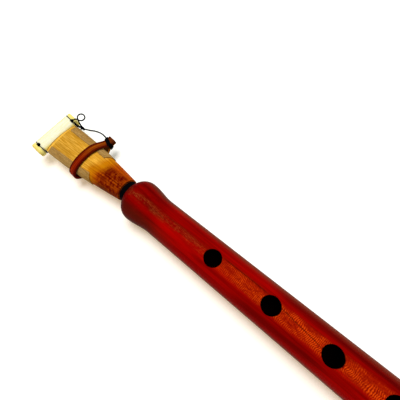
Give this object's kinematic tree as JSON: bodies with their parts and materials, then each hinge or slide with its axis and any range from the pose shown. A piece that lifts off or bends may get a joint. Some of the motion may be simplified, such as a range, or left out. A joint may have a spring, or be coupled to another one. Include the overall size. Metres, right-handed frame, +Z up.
{
  "type": "duduk",
  "caption": "Cylindrical wooden double-reed pipe with finger holes. Its wide flattened cane reed is held by a bent strip bridle and closed by a tied wooden cap on a thread tether.",
  "frame": {"origin": "centre of the bounding box in X and Y, at the surface that the pipe lies on", "axes": "+X along the tube from the reed to the foot, +Z up, out of the finger holes, +Y across, to the side of the bridle's bound ends"},
  "size_m": [0.4593, 0.0394, 0.0258],
  "materials": {
    "stained_wood": "satin",
    "cane": "satin",
    "paper_tape": "matte",
    "waxed_thread": "satin",
    "strip_wood": "satin",
    "pale_wood": "matte"
  },
  "bodies": {
    "tube": {"body_tube": "stained_wood"},
    "reed": {"reed_cane": "cane", "reed_tape_left": "paper_tape", "reed_tape_right": "paper_tape", "lapping_bed": "waxed_thread", "lapping_thread": "waxed_thread"},
    "bridle": {"bridle_strip": "strip_wood", "bridle_binding": "waxed_thread"},
    "cap": {"cap_board_upper": "pale_wood", "cap_board_lower": "pale_wood", "cap_tie_left": "waxed_thread", "cap_tie_right": "waxed_thread", "tether_loop": "waxed_thread", "tether_knot": "waxed_thread", "tether_tail": "waxed_thread", "tether_thread": "waxed_thread"}
  },
  "joints": [
    {"name": "reed_slide", "type": "slide", "parent": "tube", "child": "reed", "axis": [-1, 0, 0], "range_m": [0, 0.02]},
    {"name": "bridle_slide", "type": "slide", "parent": "reed", "child": "bridle", "axis": [-1, 0, 0], "range_m": [-0.002, 0.005], "deforming": ["tether_thread"]},
    {"name": "cap_slide", "type": "slide", "parent": "reed", "child": "cap", "axis": [-1, 0, 0], "range_m": [0, 0.016], "deforming": ["tether_thread"]}
  ]
}
